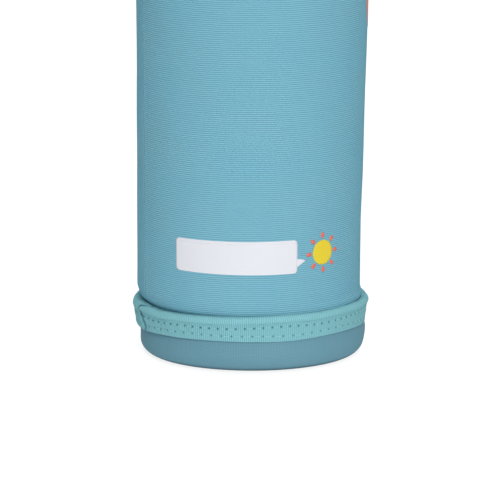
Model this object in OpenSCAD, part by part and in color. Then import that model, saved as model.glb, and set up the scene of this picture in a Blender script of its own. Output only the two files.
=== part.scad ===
// Insulated drinking bottle in a padded fabric pouch.
// Millimetres, +Z up, origin at the centre of the flat foot, front towards -Y.

/* [Pouch] */
// Outer radius of the moulded base cup
cup_r = 41.7; // [41.2:0.1:42.2]
// Height of the base cup's rim
cup_h = 19.5; // [18.5:0.5:21]
// Wall of the base cup
cup_wall = 1.2; // [0.8:0.1:1.3]
// Fillet round the foot of the base cup
foot_fillet = 4.5; // [3:0.5:6]
// Outer radius of the fabric sleeve near its lower end
sleeve_r_low = 42.0; // [41.8:0.1:42.4]
// Outer radius of the fabric sleeve at its mouth
sleeve_r_top = 42.6; // [42.2:0.1:43]
// Height of the pouch's mouth
pouch_h = 175; // [168:1:176]
// Thickness of the outer fabric
fabric_t = 0.8; // [0.5:0.1:0.9]
// Width of the webbing in the strap tabs
web_w = 18; // [14:1:19]
// Wire radius of the strap rings
ring_wire_r = 1.75; // [1.5:0.05:1.75]

/* [Bottle] */
// Outer radius of the steel bottle
bottle_r = 38.0; // [37:0.1:38.1]
// Sheet thickness of the steel
steel_t = 0.7; // [0.5:0.1:0.9]
// Height of the drinking mouth's rim above the foot
mouth_z = 201; // [200.5:0.5:201.5]
// Outer radius of the steel neck
neck_r = 27.4; // [27:0.1:27.5]
// Height gained in one turn of the cap's thread
thread_lead = 16; // [12:1:18]

/* [Cap] */
// Outer radius of the cap body
cap_r = 38.0; // [37.5:0.1:38.2]
// Height of the cap body's upper rim
cap_top_z = 214; // [213:0.5:214.5]
// Height of the closed lid's top
lid_top_z = 241; // [238:1:246]
// Outer radius of the lid's rim
lid_r = 37.5; // [37:0.1:37.8]
// Outer radius of the drinking tube
spout_r = 9; // [8:0.5:10]
// Distance of the drinking tube in front of the axis
spout_y = 9; // [6:1:10]
// Radius of the hinge pin
pin_r = 1.5; // [1.25:0.05:1.6]

/* [Hidden] */
$fn = 96;
e = 0.01;

seam_a = -70;                 // angle of the side seam from the front, towards +X
lining_r = 38.9;              // inner radius of the lining
foam_in_r = 39.2;             // inner radius of the foam
bottle_z = 5.0;               // underside of the bottle
ring_x = 46.5;                // distance of the strap rings' bars from the axis
ring_z = 162.5;               // height of the strap rings' bars
ring_bend_r = 12.5;           // centreline radius of the strap rings' bend
ring_leg = 5;                 // straight legs between bar and bend
deck_z0 = 205;                // underside of the cap's deck
deck_z1 = 208;                // top of the cap's deck
hinge_y = 36.5;               // hinge axis behind the bottle's axis
hinge_z = cap_top_z + 1;      // height of the hinge axis
lid_z0 = cap_top_z + 0.5;     // underside of the lid's rim
lid_wall = 1.8;
spout_top = lid_top_z - 10;   // top of the drinking tube

// Points along an arc in the (radius, height) plane, from angle a0 to a1
function arc(cx, cy, r, a0, a1, n = 8) = [for (i = [0:n]) let (a = a0 + (a1 - a0) * i / n) [cx + r * cos(a), cy + r * sin(a)]];

// Outer radius of the sleeve at height z: pinched in the seam, then padded out
function sleeve_r(z) = z < 21 ? cup_r - cup_wall - 0.1
    : z < 26 ? (cup_r - cup_wall - 0.1) + (sleeve_r_low - cup_r + cup_wall + 0.1) * sin((z - 21) / 5 * 90)
    : sleeve_r_low + (sleeve_r_top - sleeve_r_low) * (z - 26) / (pouch_h - 26);
sleeve_z = [9.5, 20.9, 22, 23, 24, 25, 26, 60, 100, 140, pouch_h - 1.2];

// Ring sector between two radii and two heights, centred on the angle mid measured from -Y towards +X
module sector(r0, r1, z0, z1, mid, width) {
    half = asin(width / 2 / r1);
    rotate([0, 0, mid - 90 - half])
        rotate_extrude(angle = 2 * half)
            polygon([[r0, z0], [r1, z0], [r1, z1], [r0, z1]]);
}

// Coil spring of wire radius w and coil radius r, turns n, along +Z from 0 to h
module coil(r, w, n, h, seg = 14, side = 6) {
    steps = round(n * seg);
    pts = [for (i = [0:steps], k = [0:side - 1])
        let (a = 360 * i / seg, b = 360 * k / side, q = r + w * cos(b))
        [q * cos(a), q * sin(a), h * i / steps + w * sin(b)]];
    sides = [for (i = [0:steps - 1], k = [0:side - 1])
        let (p = i * side + k, q = i * side + (k + 1) % side)
        [p, q, q + side, p + side]];
    polyhedron(pts, concat(sides, [[for (k = [side - 1:-1:0]) k]], [[for (k = [0:side - 1]) steps * side + k]]));
}

// ---- pouch ----

module pouch_base_cup() {
    color([0.36, 0.52, 0.60])
        rotate_extrude()
            polygon(concat(
                [[0, 0], [cup_r - foot_fillet, 0]],
                arc(cup_r - foot_fillet, foot_fillet, foot_fillet, -80, 0, 8),
                [[cup_r, cup_h], [cup_r - cup_wall, cup_h], [cup_r - cup_wall, foot_fillet + 1]],
                arc(cup_r - cup_wall - foot_fillet, foot_fillet + 1.4, foot_fillet, -10, -80, 6),
                [[cup_r - cup_wall - foot_fillet - 1, 1.5], [0, 1.5]]));
}

module base_pad() {
    color([0.20, 0.22, 0.25])
        rotate_extrude()
            polygon([[0, 1.6], [34, 1.6], [36.6, 3.0], [36.6, 4.0], [36.0, 4.6], [0, 4.6]]);
}

module base_binding() {
    color([0.51, 0.74, 0.76])
        rotate_extrude()
            polygon(concat(
                [[cup_r + 0.02, 12.1], [cup_r + 0.8, 12.1], [cup_r + 1.1, 12.6], [cup_r + 1.1, 17.7], [cup_r + 1.0, 18.1]],
                arc(cup_r + 0.6, 19.9, 1.25, -35, 90, 7),
                [[cup_r - 0.6, 21.2], [cup_r - 1.0, 20.9], [cup_r - cup_wall, 20.2], [cup_r - cup_wall, cup_h + 0.05],
                 [cup_r + 0.02, cup_h + 0.05]]));
}

module pouch_sleeve() {
    color([0.45, 0.68, 0.75])
        rotate_extrude()
            polygon(concat(
                [for (z = sleeve_z) [sleeve_r(z), z]],
                [for (i = [len(sleeve_z) - 1:-1:0]) [sleeve_r(sleeve_z[i]) - fabric_t, sleeve_z[i]]]));
}

module pouch_foam() {
    color([0.85, 0.86, 0.84])
        rotate_extrude()
            polygon([[foam_in_r, 23.6], [sleeve_r(23.6) - fabric_t - 0.05, 23.6], [sleeve_r(26) - fabric_t - 0.05, 26],
                     [sleeve_r(pouch_h - 2) - fabric_t - 0.05, pouch_h - 2], [foam_in_r, pouch_h - 2]]);
}

module pouch_lining() {
    color([0.72, 0.74, 0.76])
        rotate_extrude()
            polygon([[lining_r, 10], [foam_in_r - 0.03, 10], [foam_in_r - 0.03, pouch_h - 2], [lining_r, pouch_h - 2]]);
}

module seam_tape() {
    color([0.30, 0.50, 0.56])
        sector(lining_r - 0.45, lining_r - 0.02, 24, pouch_h - 9, seam_a, 10);
}

module top_binding() {
    r = sleeve_r(pouch_h - 4);
    color([0.51, 0.74, 0.76])
        rotate_extrude()
            polygon(concat(
                [[r + 0.02, pouch_h - 8], [r + 0.8, pouch_h - 8], [r + 1.0, pouch_h - 7.5], [r + 1.0, pouch_h - 1.6]],
                [[r + 0.6, pouch_h - 0.6], [r - 0.4, pouch_h], [r - 2.6, pouch_h], [lining_r - 0.4, pouch_h - 0.8],
                 [lining_r - 0.45, pouch_h - 7], [lining_r - 0.02, pouch_h - 7], [lining_r - 0.02, pouch_h - 1.1],
                 [r + 0.02, pouch_h - 1.1]]));
}

// Webbing sewn flat to the sleeve, with a loop at its top that holds the ring's bar
module strap_tab_right() {
    r = sleeve_r(150);
    color([0.86, 0.42, 0.36])
        difference() {
            union() {
                sector(r + 0.1, r + 1.6, ring_z - 18, ring_z - 1.5, 90, web_w);
                translate([ring_x, 0, ring_z]) rotate([90, 0, 0]) cylinder(r = ring_wire_r + 1.25, h = web_w, center = true);
                translate([r + 1.2, -web_w / 2, ring_z - 3.0]) cube([ring_x - r - 1.2, web_w, 2.9]);
            }
            translate([ring_x, 0, ring_z]) rotate([90, 0, 0]) cylinder(r = ring_wire_r + 0.05, h = web_w + 2, center = true);
        }
}

module strap_tab_left() { mirror([1, 0, 0]) strap_tab_right(); }

// D-shaped wire ring hanging from its bar
module d_ring_right() {
    color([0.80, 0.81, 0.83])
        translate([ring_x, 0, ring_z])
            union() {
                rotate([90, 0, 0]) cylinder(r = ring_wire_r, h = 2 * ring_bend_r, center = true);
                for (s = [-1, 1]) translate([0, s * ring_bend_r, 0]) sphere(r = ring_wire_r + 0.02);
                for (s = [-1, 1]) translate([0, s * ring_bend_r, -ring_leg]) cylinder(r = ring_wire_r, h = ring_leg);
                translate([0, 0, -ring_leg]) rotate([0, 90, 0]) rotate([0, 0, -90])
                    rotate_extrude(angle = 180) translate([ring_bend_r, 0]) circle(r = ring_wire_r, $fn = 32);
            }
}

module d_ring_left() { mirror([1, 0, 0]) d_ring_right(); }

// ---- steel bottle ----

function shell_out() = concat(
    [[34, bottle_z], [bottle_r - 3, bottle_z]],
    arc(bottle_r - 3, bottle_z + 3, 3, -75, 0, 5),
    [[bottle_r, 174]],
    arc(bottle_r - 8, 174, 8, 12, 78, 6),
    [[neck_r + 2, 182.3]],
    arc(neck_r + 2, 184.3, 2, -100, -180, 4),
    [[neck_r, mouth_z - 0.6]]);

module outer_shell() {
    t = steel_t;
    color([0.93, 0.94, 0.95])
        union() {
            rotate_extrude()
                polygon(concat(
                    shell_out(),
                    [[neck_r - t, mouth_z - 0.6], [neck_r - t, 184.3]],
                    arc(neck_r + 2, 184.3, 2 + t, -180, -100, 4),
                    [[neck_r + 2, 182.3 - t]],
                    arc(bottle_r - 8, 174, 8 - t, 78, 12, 6),
                    [[bottle_r - t, 174], [bottle_r - t, bottle_z + 3]],
                    arc(bottle_r - 3, bottle_z + 3, 3 - t, 0, -75, 5),
                    [[34, bottle_z + t]]));
            // four-start thread on the neck
            for (k = [0:3]) rotate([0, 0, 90 * k]) thread_ridge();
        }
}

// One thread start: a trapezoid section climbing round the neck
module thread_ridge(span = 84, n = 12) {
    pts = [for (i = [0:n])
        let (a = span * i / n, z = 188.5 + thread_lead * a / 360, f = min(1, min(i, n - i) / 2 + 0.15))
        for (p = [[-0.35, -0.9], [0.60 * f, -0.4], [0.60 * f, 0.4], [-0.35, 0.9]])
            [(neck_r + p[0]) * cos(a), (neck_r + p[0]) * sin(a), z + p[1]]];
    sides = [for (i = [0:n - 1], k = [0:3])
        let (p = i * 4 + k, q = i * 4 + (k + 1) % 4)
        [p, q, q + 4, p + 4]];
    polyhedron(pts, concat(sides, [[3, 2, 1, 0]], [[4 * n, 4 * n + 1, 4 * n + 2, 4 * n + 3]]));
}

module inner_vessel() {
    t = 0.6;
    r = bottle_r - 2.8;
    nr = neck_r - steel_t - 0.1;
    color([0.80, 0.81, 0.82])
        rotate_extrude()
            polygon(concat(
                [[0, 9.0], [r - 6, 9.0]],
                arc(r - 6, 15, 6, -80, 0, 6),
                [[r, 172]],
                arc(r - 6, 172, 6, 12, 78, 5),
                [[nr + 2, 178.2]],
                arc(nr + 2, 180.2, 2, -100, -180, 4),
                [[nr, mouth_z - 0.6], [neck_r, mouth_z - 0.6], [neck_r, mouth_z], [nr - t, mouth_z], [nr - t, 180.2]],
                arc(nr + 2, 180.2, 2 + t, -180, -100, 4),
                [[nr + 2, 178.2 - t]],
                arc(r - 6, 172, 6 - t, 78, 12, 5),
                [[r - t, 172], [r - t, 15]],
                arc(r - 6, 15, 6 - t, 0, -80, 6),
                [[r - 6, 9.0 + t], [0, 9.0 + t]]));
}

module base_plate() {
    color([0.80, 0.81, 0.82])
        rotate_extrude()
            polygon([[0, 6.9], [20, 6.9], [22, bottle_z + steel_t + 0.12], [34.9, bottle_z + steel_t + 0.12],
                     [34.9, bottle_z + 1.5], [22.4, bottle_z + 1.5], [20.3, 7.6], [0, 7.6]]);
}

// ---- cap unit ----

module cap_gasket() {
    color([0.93, 0.93, 0.90])
        rotate_extrude()
            polygon([[24, mouth_z + 0.3], [27.3, mouth_z + 0.3], [27.8, mouth_z + 1.2], [27.8, mouth_z + 3.0],
                     [27.3, mouth_z + 3.6], [24.4, mouth_z + 3.6], [24, mouth_z + 2.8]]);
}

module cap_body() {
    ear_r = 4;
    color([0.96, 0.96, 0.94])
        difference() {
            union() {
                difference() {
                    rotate_extrude()
                        polygon(concat(
                            [[cap_r - 1.0, 185], [cap_r - 0.3, 185.4], [cap_r, 186.2]],
                            [[cap_r, cap_top_z - 1.2], [cap_r - 0.4, cap_top_z - 0.3], [cap_r - 1.1, cap_top_z],
                             [cap_r - 2.0, cap_top_z - 0.3], [cap_r - 2.2, deck_z1], [15.6, deck_z1], [15.6, deck_z0],
                             [28.3, deck_z0], [28.3, 186.6], [29.5, 186.6], [29.5, deck_z0], [cap_r - 2, deck_z0],
                             [cap_r - 2, 185.4]]));
                    // room for the lid's knuckle
                    translate([0, hinge_y, hinge_z]) rotate([0, 90, 0]) cylinder(r = ear_r + 0.6, h = 12.4, center = true);
                }
                // hinge ears
                for (s = [-1, 1]) {
                    translate([s * 8.7, hinge_y, hinge_z]) rotate([0, 90, 0]) cylinder(r = ear_r, h = 5.0, center = true);
                    translate([s * 8.7 - 2.5, cap_r - 3.0, 203]) cube([5.0, 4.6, hinge_z - 203.5]);
                }
            }
            // bore for the pin
            translate([0, hinge_y, hinge_z]) rotate([0, 90, 0]) cylinder(r = pin_r - 0.02, h = 30, center = true);
            // window for the push button, and its slot in the deck
            translate([-9, -cap_r - 2, 199.6]) cube([18, 6, 11.6]);
            translate([-9, -cap_r + 1.4, deck_z0 - 1]) cube([18, 6.4, deck_z1 - deck_z0 + 2]);
            // slot for the lock's foot
            translate([-3.2, -cap_r - 2, 189.4]) cube([6.4, 5, 7.2]);
        }
}

// Drinking spout with its flange under the deck
module mouthpiece() {
    color([0.97, 0.97, 0.95])
        difference() {
            union() {
                translate([0, 0, 203.2]) cylinder(r = 21, h = 1.7);
                translate([0, 0, 204.8]) cylinder(r = 15.3, h = 5.0);
                translate([0, 0, 209.7]) cylinder(r1 = 15.3, r2 = 14.5, h = 0.9);
                translate([0, -spout_y + 4, 210]) rotate_extrude()
                    polygon([[0, 0], [11, 0], [10, 1.2], [spout_r + 0.3, 3], [spout_r, 6], [spout_r, spout_top - 211.2],
                             [spout_r + 0.6, spout_top - 210.8], [spout_r + 0.4, spout_top - 210.1], [spout_r - 0.4, spout_top - 210], [0, spout_top - 210]]);
            }
            translate([0, -spout_y + 4, 200]) cylinder(r = spout_r - 2, h = 60);
            // air vent behind the tube
            translate([0, 10.2, 200]) cylinder(r = 1.1, h = 20);
        }
}

module mouthpiece_gasket() {
    color([0.80, 0.85, 0.86])
        rotate_extrude()
            polygon([[17.2, 201.6], [20.4, 201.6], [20.9, 202.2], [20.9, 203.15], [17.2, 203.15]]);
}

module hinge_pin() {
    color([0.78, 0.79, 0.80])
        translate([0, hinge_y, hinge_z]) rotate([0, 90, 0]) union() {
            cylinder(r = pin_r, h = 22.8, center = true);
            for (s = [-1, 1]) translate([0, 0, s * 11.7]) cylinder(r = pin_r + 0.5, h = 0.8, center = true);
        }
}

// Spring that lifts the lid, coiled round the pin between ear and knuckle
module lid_spring() {
    color([0.70, 0.71, 0.72])
        for (s = [-1, 1])
            translate([s * 5.95 - 0.9 * (s + 1) - (s < 0 ? 0 : 0.4), hinge_y, hinge_z]) rotate([0, 90, 0])
                coil(2.35, 0.28, 2.5, 2.2, 16, 6);
}

module button_spring() {
    color([0.70, 0.71, 0.72])
        translate([0, -32.65, 202.9]) rotate([-90, 0, 0]) coil(1.9, 0.22, 4, 2.8, 14, 6);
}

// ---- lid ----

module lid_shell() {
    r = lid_r; h = lid_top_z; w = lid_wall;
    kr = 4;
    color([0.45, 0.73, 0.78])
        difference() {
            union() {
                difference() {
                    rotate_extrude()
                        polygon(concat(
                            [[r - w, lid_z0], [r - 0.4, lid_z0], [r, lid_z0 + 0.5]],
                            arc(r - 13.2, h - 12.6, 12.6, 6, 86, 8),
                            [[0, h], [0, h - w], [r - 13.0, h - w - 0.4]],
                            arc(r - 13.2, h - 12.6, 12.6 - w, 80, 6, 7)));
                    // clear of the cap's hinge ears
                    for (s = [-1, 1]) translate([s * 9.3, hinge_y, hinge_z]) rotate([0, 90, 0])
                        cylinder(r = kr + 0.5, h = 6.9, center = true);
                    // room for the springs beside the knuckle
                    translate([0, hinge_y, hinge_z]) rotate([0, 90, 0]) cylinder(r = 3.4, h = 13, center = true);
                }
                // knuckle and its web to the lid's wall
                translate([0, hinge_y, hinge_z]) rotate([0, 90, 0]) cylinder(r = kr - 0.1, h = 6.4, center = true);
                translate([-3.2, lid_r - 3.2, hinge_z + 0.2]) cube([6.4, 3.6, 3.8]);
                // catch inside the front wall
                translate([-5, -lid_r + 1.0, lid_z0 + 0.6]) cube([10, 1.2, 1.2]);
            }
            translate([0, hinge_y, hinge_z]) rotate([0, 90, 0]) cylinder(r = pin_r + 0.05, h = 20, center = true);
        }
}

module lid_liner() {
    h = lid_top_z - lid_wall;
    color([0.95, 0.95, 0.93])
        rotate_extrude()
            polygon([[0, h - 2.0], [22, h - 2.0], [24, h - 1.2], [24, h - 0.45], [0, h - 0.05]]);
}

module lid_seal() {
    h = lid_top_z - lid_wall - 2.0;
    color([0.80, 0.85, 0.86])
        translate([0, -spout_y + 4, 0])
            rotate_extrude()
                polygon([[0, spout_top - 0.7], [spout_r - 3.0, spout_top - 0.7], [spout_r - 2.4, spout_top + 0.35],
                         [spout_r + 1.5, spout_top + 0.35], [spout_r + 2.2, spout_top + 1.2], [spout_r + 2.2, h - 0.05], [0, h - 0.05]]);
}

// ---- controls ----

module push_button() {
    color([0.90, 0.45, 0.38])
        union() {
            difference() {
                intersection() {
                    translate([-8.6, -42, 200.0]) cube([17.2, 5.6, 10.8]);
                    union() {
                        cylinder(r = cap_r + 1.4, h = 230);
                        translate([0, -cap_r + 4.5, 205.4]) sphere(r = 7.0);
                    }
                }
                cylinder(r = cap_r - 1.2, h = 230);
            }
            // arm behind the plate, with the hook that holds the lid
            translate([-4, -34.4, 200.8]) cube([8, 1.4, 17.2]);
            translate([-4, -34.9, 216.8]) cube([8, 0.8, 1.2]);
            for (z = [200.8, 208.6]) translate([-4, -37.2, z]) cube([8, 3.2, 2.0]);
        }
}

module lock_slider() {
    color([0.97, 0.97, 0.95])
        union() {
            difference() {
                translate([-5, -41.2, 188.2]) cube([10, 2.6, 6.4]);
                cylinder(r = cap_r + 0.3, h = 230);
                for (z = [189.6, 191.2, 192.8]) translate([-6, -41.5, z]) cube([12, 0.6, 0.6]);
            }
            translate([-2.8, -39.5, 190.1]) cube([5.6, 4.9, 3.2]);
            translate([-4.2, -35.4, 189.6]) cube([8.4, 1.2, 4.2]);
            translate([-4.2, -34.5, 189.6]) cube([8.4, 3.1, 1.4]);
            for (x = [-4.2, 2.8]) translate([x, -32.7, 190.0]) cube([1.4, 1.2, 9.7]);
        }
}

pouch_base_cup();
base_pad();
base_binding();
pouch_sleeve();
pouch_foam();
pouch_lining();
seam_tape();
top_binding();
strap_tab_right();
strap_tab_left();
d_ring_right();
d_ring_left();
outer_shell();
inner_vessel();
base_plate();
cap_gasket();
cap_body();
mouthpiece();
mouthpiece_gasket();
hinge_pin();
lid_spring();
button_spring();
lid_shell();
lid_liner();
lid_seal();
push_button();
lock_slider();
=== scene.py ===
import math
import random
import bpy
import bmesh
import numpy as np
from mathutils import Vector, Matrix


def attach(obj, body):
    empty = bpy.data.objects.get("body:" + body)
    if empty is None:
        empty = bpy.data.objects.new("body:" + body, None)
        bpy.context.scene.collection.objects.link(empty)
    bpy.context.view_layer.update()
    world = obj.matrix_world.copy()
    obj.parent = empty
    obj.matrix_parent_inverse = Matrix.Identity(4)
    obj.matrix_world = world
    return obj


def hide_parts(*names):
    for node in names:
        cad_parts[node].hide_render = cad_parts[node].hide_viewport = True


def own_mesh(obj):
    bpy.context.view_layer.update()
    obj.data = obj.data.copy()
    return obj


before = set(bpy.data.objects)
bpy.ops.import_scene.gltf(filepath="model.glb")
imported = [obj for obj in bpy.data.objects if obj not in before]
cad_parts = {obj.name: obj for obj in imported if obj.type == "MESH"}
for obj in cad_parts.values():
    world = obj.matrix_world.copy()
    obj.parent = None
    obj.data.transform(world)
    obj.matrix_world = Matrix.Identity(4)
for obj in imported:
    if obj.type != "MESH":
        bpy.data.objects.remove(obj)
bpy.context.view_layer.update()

MM = 0.001
PI = math.pi

# ---------------------------------------------------------------- node materials

class Mat:
    """A Principled material with short ways to add the nodes it needs."""

    def __init__(self, name, rough=0.6, **principled):
        self.m = bpy.data.materials.new(name)
        self.m.use_nodes = True
        self.t = self.m.node_tree
        self.t.nodes.clear()
        self.out = self.t.nodes.new("ShaderNodeOutputMaterial")
        self.p = self.t.nodes.new("ShaderNodeBsdfPrincipled")
        self.t.links.new(self.p.outputs[0], self.out.inputs[0])
        self.p.inputs["Roughness"].default_value = rough
        for k, v in principled.items():
            self.p.inputs[k.replace("_", " ")].default_value = v
        self._obj = None

    def link(self, a, b):
        self.t.links.new(a, b)

    def obj(self):
        if self._obj is None:
            self._obj = self.t.nodes.new("ShaderNodeTexCoord").outputs["Object"]
        return self._obj

    def math(self, op, a, b=None, c=None, clamp=False):
        n = self.t.nodes.new("ShaderNodeMath")
        n.operation = op
        n.use_clamp = clamp
        for i, v in enumerate((a, b, c)):
            if v is None:
                continue
            if isinstance(v, (int, float)):
                n.inputs[i].default_value = v
            else:
                self.link(v, n.inputs[i])
        return n.outputs[0]

    def xyz(self, vec=None):
        n = self.t.nodes.new("ShaderNodeSeparateXYZ")
        self.link(vec or self.obj(), n.inputs[0])
        return n.outputs

    def vec(self, x, y, z):
        n = self.t.nodes.new("ShaderNodeCombineXYZ")
        for i, v in enumerate((x, y, z)):
            if isinstance(v, (int, float)):
                n.inputs[i].default_value = v
            else:
                self.link(v, n.inputs[i])
        return n.outputs[0]

    def wrap(self, radius):
        """(distance round the axis at radius, height) in metres, with the join at the back."""
        x, y, z = self.xyz()
        a = self.math("ARCTAN2", x, self.math("MULTIPLY", y, -1.0))
        return self.math("MULTIPLY", a, radius), z

    def noise(self, scale, detail=2.0, rough=0.5, vec=None, distortion=0.0):
        n = self.t.nodes.new("ShaderNodeTexNoise")
        n.inputs["Scale"].default_value = scale
        n.inputs["Detail"].default_value = detail
        n.inputs["Roughness"].default_value = rough
        n.inputs["Distortion"].default_value = distortion
        self.link(vec or self.obj(), n.inputs["Vector"])
        return n.outputs["Fac"]

    def voronoi(self, scale, feature="F1", vec=None):
        n = self.t.nodes.new("ShaderNodeTexVoronoi")
        n.feature = feature
        n.inputs["Scale"].default_value = scale
        self.link(vec or self.obj(), n.inputs["Vector"])
        return n.outputs["Distance"]

    def ramp(self, fac, stops, mode="LINEAR"):
        n = self.t.nodes.new("ShaderNodeValToRGB")
        n.color_ramp.interpolation = mode
        e = n.color_ramp.elements
        while len(e) < len(stops):
            e.new(0.5)
        for i, (p, c) in enumerate(stops):
            e[i].position = p
            e[i].color = (*c, 1.0)
        self.link(fac, n.inputs[0])
        return n.outputs[0]

    def mix(self, fac, a, b, mode="MIX"):
        n = self.t.nodes.new("ShaderNodeMix")
        n.data_type = "RGBA"
        n.blend_type = mode
        if isinstance(fac, (int, float)):
            n.inputs[0].default_value = fac
        else:
            self.link(fac, n.inputs[0])
        for sock, v in ((n.inputs[6], a), (n.inputs[7], b)):
            if isinstance(v, tuple):
                sock.default_value = (*v, 1.0)
            else:
                self.link(v, sock)
        return n.outputs[2]

    def range(self, v, lo, hi, a=0.0, b=1.0, smooth=False):
        n = self.t.nodes.new("ShaderNodeMapRange")
        if smooth:
            n.interpolation_type = "SMOOTHSTEP"
        self.link(v, n.inputs[0])
        for i, x in enumerate((lo, hi, a, b)):
            n.inputs[i + 1].default_value = x
        return n.outputs[0]

    def wave(self, v, pitch, phase=0.0):
        """0 to 1 and back along v with the given pitch."""
        s = self.math("SINE", self.math("MULTIPLY_ADD", v, 2 * PI / pitch, phase))
        return self.math("MULTIPLY_ADD", s, 0.5, 0.5)

    def color(self, sock):
        if isinstance(sock, tuple):
            self.p.inputs["Base Color"].default_value = (*sock, 1.0)
        else:
            self.link(sock, self.p.inputs["Base Color"])
        return self

    def rough(self, sock):
        self.link(sock, self.p.inputs["Roughness"])
        return self

    def bump(self, height, distance, strength=1.0):
        n = self.t.nodes.new("ShaderNodeBump")
        n.inputs["Strength"].default_value = strength
        n.inputs["Distance"].default_value = distance
        self.link(height, n.inputs["Height"])
        if getattr(self, "_bump", None) is not None:
            self.link(self._bump, n.inputs["Normal"])
        self._bump = n.outputs[0]
        self.link(self._bump, self.p.inputs["Normal"])
        return self


def lin(r, g, b):
    """sRGB 0 to 255 as linear."""
    def f(c):
        c /= 255.0
        return c / 12.92 if c <= 0.04045 else ((c + 0.055) / 1.055) ** 2.4
    return (f(r), f(g), f(b))


def scale_c(c, k):
    return tuple(min(1.0, x * k) for x in c)


# colours
SLEEVE = lin(114, 167, 184)
BINDING = lin(127, 183, 191)
CUP = lin(100, 143, 158)
CORAL = lin(226, 112, 92)
LIDC = lin(104, 176, 192)
WHITE = lin(238, 238, 234)


def mat_sleeve():
    m = Mat("ribbed_polyester", rough=0.60)
    m.p.inputs["Specular IOR Level"].default_value = 0.0
    s, z = m.wrap(0.042)
    big = m.noise(55.0, 3.0, 0.55)
    # ribs run round the pouch, a little uneven in height
    wob = m.noise(1.0, 2.0, 0.5, vec=m.vec(m.math("MULTIPLY", s, 90.0), 0.0, m.math("MULTIPLY", z, 25.0)))
    zz = m.math("MULTIPLY_ADD", wob, 0.00045, z)
    rib = m.wave(zz, 0.00074)
    yarn = m.wave(s, 0.00046)
    fine = m.noise(1.0, 2.0, 0.6, vec=m.vec(m.math("MULTIPLY", s, 2600.0), 0.0, m.math("MULTIPLY", z, 900.0)))
    # the ribs' colour runs darker in the valleys and lighter on the crests: painted shade and highlight on top of the
    # bump's own shading
    c = m.ramp(rib, [(0.0, scale_c(SLEEVE, 0.69)), (0.45, scale_c(SLEEVE, 0.98)), (1.0, scale_c(SLEEVE, 1.20))])
    c = m.mix(m.range(fine, 0.35, 0.75, 0.0, 0.22), c, scale_c(SLEEVE, 0.78))
    c = m.mix(m.range(big, 0.35, 0.7, 0.0, 0.16), c, lin(90, 160, 190))
    m.color(c)
    h = m.math("ADD", m.math("MULTIPLY", rib, 0.88), m.math("MULTIPLY", yarn, 0.12))
    m.bump(h, 0.00010, 0.8)
    m.bump(big, 0.0006, 0.35)
    return m.m


def mat_cup():
    m = Mat("cup_facing", rough=0.7)
    m.p.inputs["Specular IOR Level"].default_value = 0.02
    s, z = m.wrap(0.0417)
    rib = m.wave(z, 0.00052)
    yarn = m.wave(s, 0.00060)
    big = m.noise(70.0, 3.0, 0.5)
    fine = m.noise(2400.0, 2.0, 0.6)
    weave = m.math("ADD", m.math("MULTIPLY", rib, 0.5), m.math("MULTIPLY", yarn, 0.5))
    c = m.ramp(weave, [(0.0, scale_c(CUP, 0.78)), (0.5, CUP), (1.0, scale_c(CUP, 1.14))])
    c = m.mix(m.range(fine, 0.3, 0.8, 0.0, 0.25), c, scale_c(CUP, 0.7))
    c = m.mix(m.range(big, 0.4, 0.7, 0.0, 0.2), c, lin(112, 150, 168))
    # painted shade: the colour darkens towards the foot's lowest edge, where shade falls
    edge = m.range(z, 0.0004, 0.0026, 1.0, 0.0, smooth=True)
    c = m.mix(m.math("MULTIPLY", edge, 0.72), c, lin(46, 66, 76))
    m.color(c)
    m.bump(weave, 0.00008, 0.7)
    m.bump(big, 0.0005, 0.25)
    return m.m


def mat_binding(name="rib_tape", base=BINDING, radius=0.043, pitch=0.00078):
    m = Mat(name, rough=0.72)
    m.p.inputs["Specular IOR Level"].default_value = 0.0
    s, z = m.wrap(radius)
    wob = m.noise(1.0, 2.0, 0.5, vec=m.vec(m.math("MULTIPLY", s, 60.0), 0.0, m.math("MULTIPLY", z, 160.0)))
    rib = m.wave(m.math("MULTIPLY_ADD", wob, 0.0005, s), pitch)
    cross = m.wave(z, 0.00045)
    big = m.noise(110.0, 3.0, 0.55)
    c = m.ramp(rib, [(0.0, scale_c(base, 0.72)), (0.5, scale_c(base, 0.98)), (1.0, scale_c(base, 1.12))])
    c = m.mix(m.range(big, 0.35, 0.7, 0.0, 0.25), c, scale_c(base, 0.84))
    m.color(c)
    m.bump(m.math("ADD", m.math("MULTIPLY", rib, 0.8), m.math("MULTIPLY", cross, 0.2)), 0.00013, 0.8)
    m.bump(big, 0.0005, 0.3)
    return m.m


def mat_print(name, base, speck=0.05):
    """A flexible print on the cloth: the weave shows through faintly."""
    m = Mat(name, rough=0.55)
    m.p.inputs["Specular IOR Level"].default_value = 0.3
    s, z = m.wrap(0.042)
    rib = m.wave(z, 0.00074)
    big = m.noise(160.0, 3.0, 0.6)
    c = m.mix(m.math("MULTIPLY", rib, speck), base, scale_c(base, 0.8))
    c = m.mix(m.range(big, 0.4, 0.75, 0.0, 0.10), c, scale_c(base, 0.86))
    m.color(c)
    m.bump(rib, 0.00004, 0.4)
    return m.m


def mat_plastic(name, base, rough=0.32, grain=0.5, coat=0.12):
    m = Mat(name, rough=rough)
    m.p.inputs["Coat Weight"].default_value = coat
    m.p.inputs["Coat Roughness"].default_value = 0.2
    fine = m.noise(2600.0, 3.0, 0.6)
    big = m.noise(45.0, 3.0, 0.5)
    c = m.mix(m.range(big, 0.35, 0.7, 0.0, 0.35), base, scale_c(base, 0.93))
    m.color(c)
    m.rough(m.range(m.math("ADD", m.math("MULTIPLY", fine, 0.4), m.math("MULTIPLY", big, 0.6)), 0.3, 0.7, rough - 0.05, rough + 0.10))
    m.bump(fine, 0.00003, grain)
    return m.m


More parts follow.
